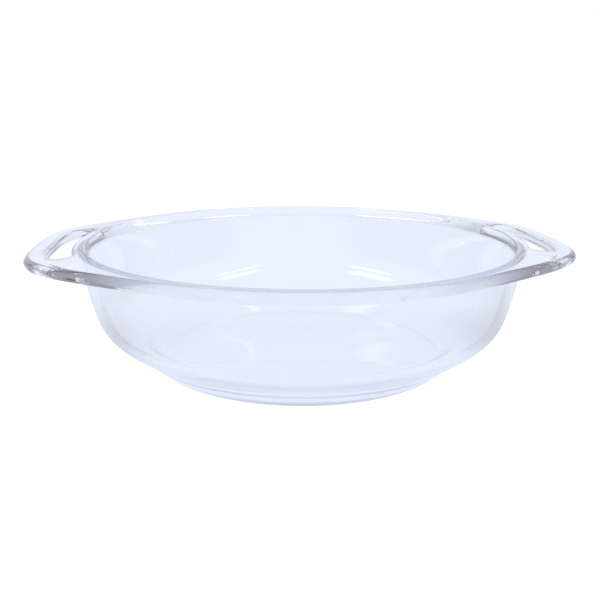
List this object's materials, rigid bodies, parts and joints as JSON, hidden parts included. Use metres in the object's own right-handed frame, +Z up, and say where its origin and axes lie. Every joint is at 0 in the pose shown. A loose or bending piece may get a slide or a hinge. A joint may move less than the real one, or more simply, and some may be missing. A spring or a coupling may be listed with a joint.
{
  "type": "glass baking dish",
  "caption": "Round clear glass baking dish with a flanged rim, a rounded heel, a low foot ring and an open loop handle on each side, for baking and serving.",
  "frame": {"origin": "middle of the base, on the surface that the dish stands on", "axes": "+X through the two handles, +Y across them, +Z up out of the bowl"},
  "size_m": [0.27, 0.23, 0.063],
  "materials": {
    "clear_glass": "smooth fire-polished pressed glass, clear with a faint cool tint"
  },
  "bodies": {
    "root": {"dish": "clear_glass"}
  },
  "joints": []
}
